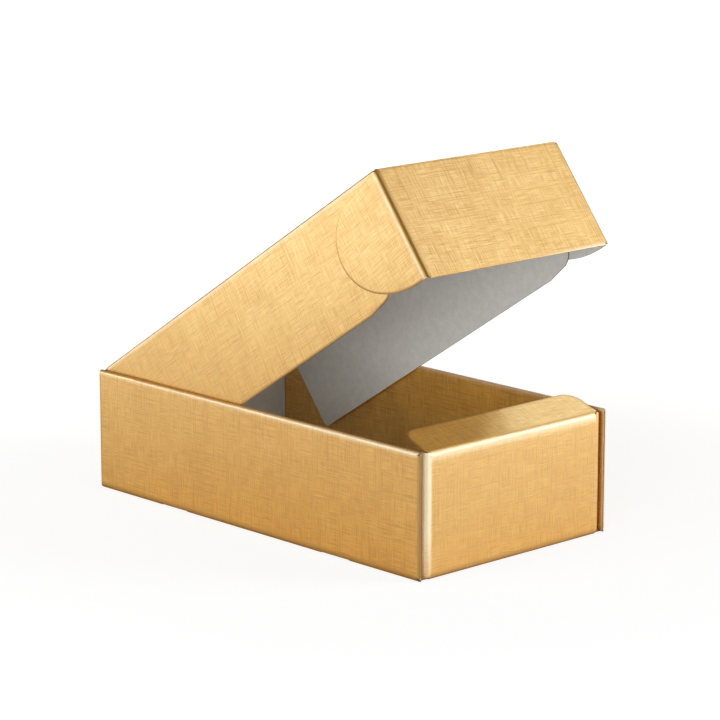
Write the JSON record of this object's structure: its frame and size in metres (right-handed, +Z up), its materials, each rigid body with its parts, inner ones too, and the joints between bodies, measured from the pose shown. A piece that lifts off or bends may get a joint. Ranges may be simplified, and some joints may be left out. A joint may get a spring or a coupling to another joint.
{
  "type": "cardboard bottle box",
  "caption": "Shallow lidded gift box folded from gold linen-textured board, with rolled-over side walls, a dust flap and a hinged lid whose rounded ears tuck into slits.",
  "frame": {"origin": "middle of the underside of the tray", "axes": "+Z up, +Y towards the rear wall with the lid's hinge crease, +X towards the right side wall seen from the front"},
  "size_m": [0.185, 0.3434, 0.2756],
  "materials": {
    "gold_board": "satin metallic gold laminate with a fine linen emboss",
    "grey_inside": "matt grey-white uncoated board"
  },
  "bodies": {
    "tray": {"bottom_panel": "grey_inside", "rear_wall": "gold_board", "front_wall": "gold_board", "side_wall_outer_left": "gold_board", "side_wall_lip_left": "gold_board", "side_wall_top_left": "gold_board", "side_wall_inner_left": "gold_board", "rear_corner_flap_left": "gold_board", "front_corner_flap_left": "gold_board", "side_wall_outer_right": "gold_board", "side_wall_lip_right": "gold_board", "side_wall_top_right": "gold_board", "side_wall_inner_right": "gold_board", "rear_corner_flap_right": "gold_board", "front_corner_flap_right": "gold_board"},
    "dust_flap": {"dust_flap": "gold_board"},
    "lid": {"lid_panel": "gold_board", "lid_side_flap_left": "gold_board", "lid_side_flap_right": "gold_board"},
    "lid_front": {"lid_front_panel": "gold_board", "lid_ear_left": "gold_board", "lid_ear_right": "gold_board"}
  },
  "joints": [
    {"name": "lid_hinge", "type": "hinge", "parent": "tray", "child": "lid", "pos_m": [0, 0.1695, 0.0895], "axis": [-1, 0, 0], "range_deg": [-32.5, 147.5]},
    {"name": "lid_front_fold", "type": "hinge", "parent": "lid", "child": "lid_front", "pos_m": [0, -0.12189, 0.27514], "axis": [-1, 0, 0], "range_deg": [-5, 85]},
    {"name": "dust_flap_fold", "type": "hinge", "parent": "tray", "child": "dust_flap", "pos_m": [0, -0.1695, 0.088], "axis": [1, 0, 0], "range_deg": [-20, 91]}
  ],
  "couplings": [
    {"joint": "dust_flap_fold", "follows": "lid_hinge", "ratio": 0.615}
  ]
}
